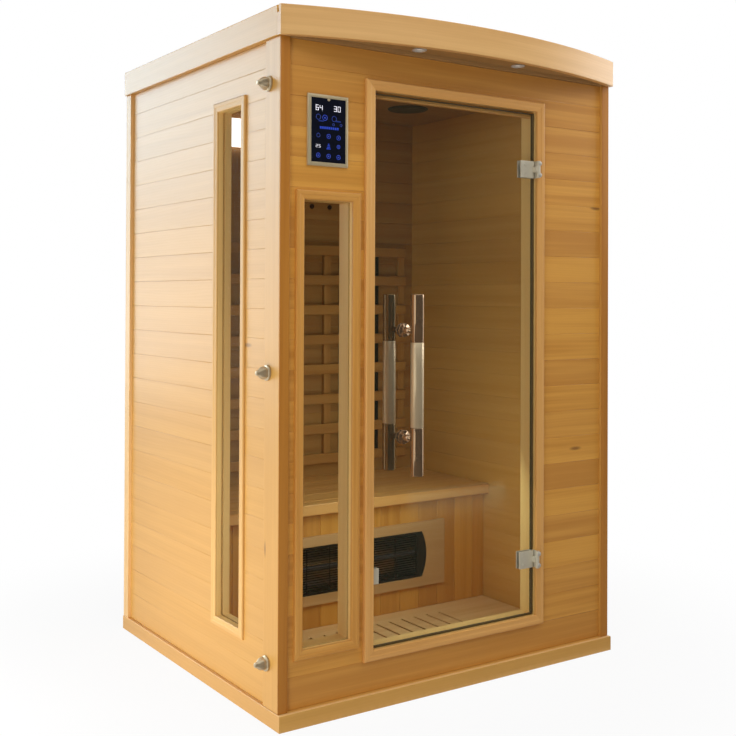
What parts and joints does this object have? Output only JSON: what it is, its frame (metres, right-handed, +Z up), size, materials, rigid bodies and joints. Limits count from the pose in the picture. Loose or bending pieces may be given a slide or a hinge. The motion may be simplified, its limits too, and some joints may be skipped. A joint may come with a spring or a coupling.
{
  "type": "infrared sauna cabin",
  "caption": "Free-standing infrared sauna cabin: boarded walls, bowed roof front, hinged bronze glass door, tall windows, bench with heater and slatted backrest.",
  "frame": {"origin": "bottom centre of the bounding box, on the floor under the plinth", "axes": "+Z up, -Y towards the door and the bowed roof front, +X to the right seen from the front"},
  "size_m": [1.292, 1.189, 1.9],
  "materials": {
    "wall_wood": "satin, clear finished softwood",
    "pale_wood": "satin, pale softwood",
    "trim_wood": "satin, amber softwood",
    "tinted_glass": "clear bronze tint",
    "satin_steel": "brushed",
    "bright_metal": "polished",
    "knob_metal": "dark bronze, satin",
    "bezel_silver": "champagne silver, satin",
    "screen_black": "gloss black",
    "heater_black": "matt black",
    "reflector_metal": "bright",
    "heater_tube": "dull dark",
    "fitting_grey": "dark grey",
    "opal_lamp": "opal white",
    "box_metal": "light grey",
    "grommet_rubber": "black"
  },
  "bodies": {
    "cabin": {"plinth_frame": "wall_wood", "left_wall_boards": "wall_wood", "left_wall_stile": "wall_wood", "right_wall_boards": "wall_wood", "right_wall_stile": "wall_wood", "rear_wall": "wall_wood", "front_left_panel": "wall_wood", "front_right_panel": "wall_wood", "front_header": "wall_wood", "front_sill": "wall_wood", "roof_fascia_front": "wall_wood", "roof_fascia_rear": "wall_wood", "ceiling_panel": "wall_wood", "bench_front_panel": "wall_wood", "backrest_lattice": "wall_wood", "floor_boards": "pale_wood", "bench_seat": "pale_wood", "bench_heater_surround": "pale_wood", "roof_fascia_left": "pale_wood", "roof_fascia_right": "pale_wood", "roof_top_panel": "pale_wood", "door_frame": "trim_wood", "front_window_frame": "trim_wood", "left_window_frame": "trim_wood", "front_window_glass": "tinted_glass", "left_window_glass": "tinted_glass", "lower_hinge_leaf": "satin_steel", "upper_hinge_leaf": "satin_steel", "lower_hinge_pin": "bright_metal", "upper_hinge_pin": "bright_metal", "left_downlight": "bright_metal", "right_downlight": "bright_metal", "control_housing": "bezel_silver", "control_screen": "screen_black", "bench_heater_guard": "heater_black", "left_back_heater": "heater_black", "centre_back_heater": "heater_black", "right_back_heater": "heater_black", "floor_heater": "heater_black", "bench_heater_reflector": "reflector_metal", "bench_heater_element": "heater_tube", "ceiling_speaker": "fitting_grey", "magnet_catch": "fitting_grey", "wall_lamp": "opal_lamp", "power_supply_box": "box_metal", "cable_grommet": "grommet_rubber"},
    "door": {"door_glass": "tinted_glass", "lower_hinge_clamp": "satin_steel", "upper_hinge_clamp": "satin_steel", "outer_handle_bar": "satin_steel", "inner_handle_bar": "satin_steel", "lower_handle_standoff": "satin_steel", "upper_handle_standoff": "satin_steel", "door_catch_plate": "satin_steel"},
    "left_lower_knob": {"left_lower_clamp_knob": "knob_metal"},
    "left_middle_knob": {"left_middle_clamp_knob": "knob_metal"},
    "left_upper_knob": {"left_upper_clamp_knob": "knob_metal"},
    "right_lower_knob": {"right_lower_clamp_knob": "knob_metal"},
    "right_middle_knob": {"right_middle_clamp_knob": "knob_metal"},
    "right_upper_knob": {"right_upper_clamp_knob": "knob_metal"}
  },
  "joints": [
    {"name": "door_hinge", "type": "hinge", "parent": "cabin", "child": "door", "pos_m": [0.294, -0.4848, 0.9325], "axis": [0, 0, 1], "range_deg": [0, 105]},
    {"name": "left_lower_knob_turn", "type": "hinge", "parent": "cabin", "child": "left_lower_knob", "pos_m": [-0.61, -0.4125, 0.1623], "axis": [-1, 0, 0], "continuous": true},
    {"name": "left_middle_knob_turn", "type": "hinge", "parent": "cabin", "child": "left_middle_knob", "pos_m": [-0.61, -0.4125, 0.932], "axis": [-1, 0, 0], "continuous": true},
    {"name": "left_upper_knob_turn", "type": "hinge", "parent": "cabin", "child": "left_upper_knob", "pos_m": [-0.61, -0.4125, 1.7017], "axis": [-1, 0, 0], "continuous": true},
    {"name": "right_lower_knob_turn", "type": "hinge", "parent": "cabin", "child": "right_lower_knob", "pos_m": [0.61, -0.4125, 0.1623], "axis": [1, 0, 0], "continuous": true},
    {"name": "right_middle_knob_turn", "type": "hinge", "parent": "cabin", "child": "right_middle_knob", "pos_m": [0.61, -0.4125, 0.932], "axis": [1, 0, 0], "continuous": true},
    {"name": "right_upper_knob_turn", "type": "hinge", "parent": "cabin", "child": "right_upper_knob", "pos_m": [0.61, -0.4125, 1.7017], "axis": [1, 0, 0], "continuous": true}
  ]
}
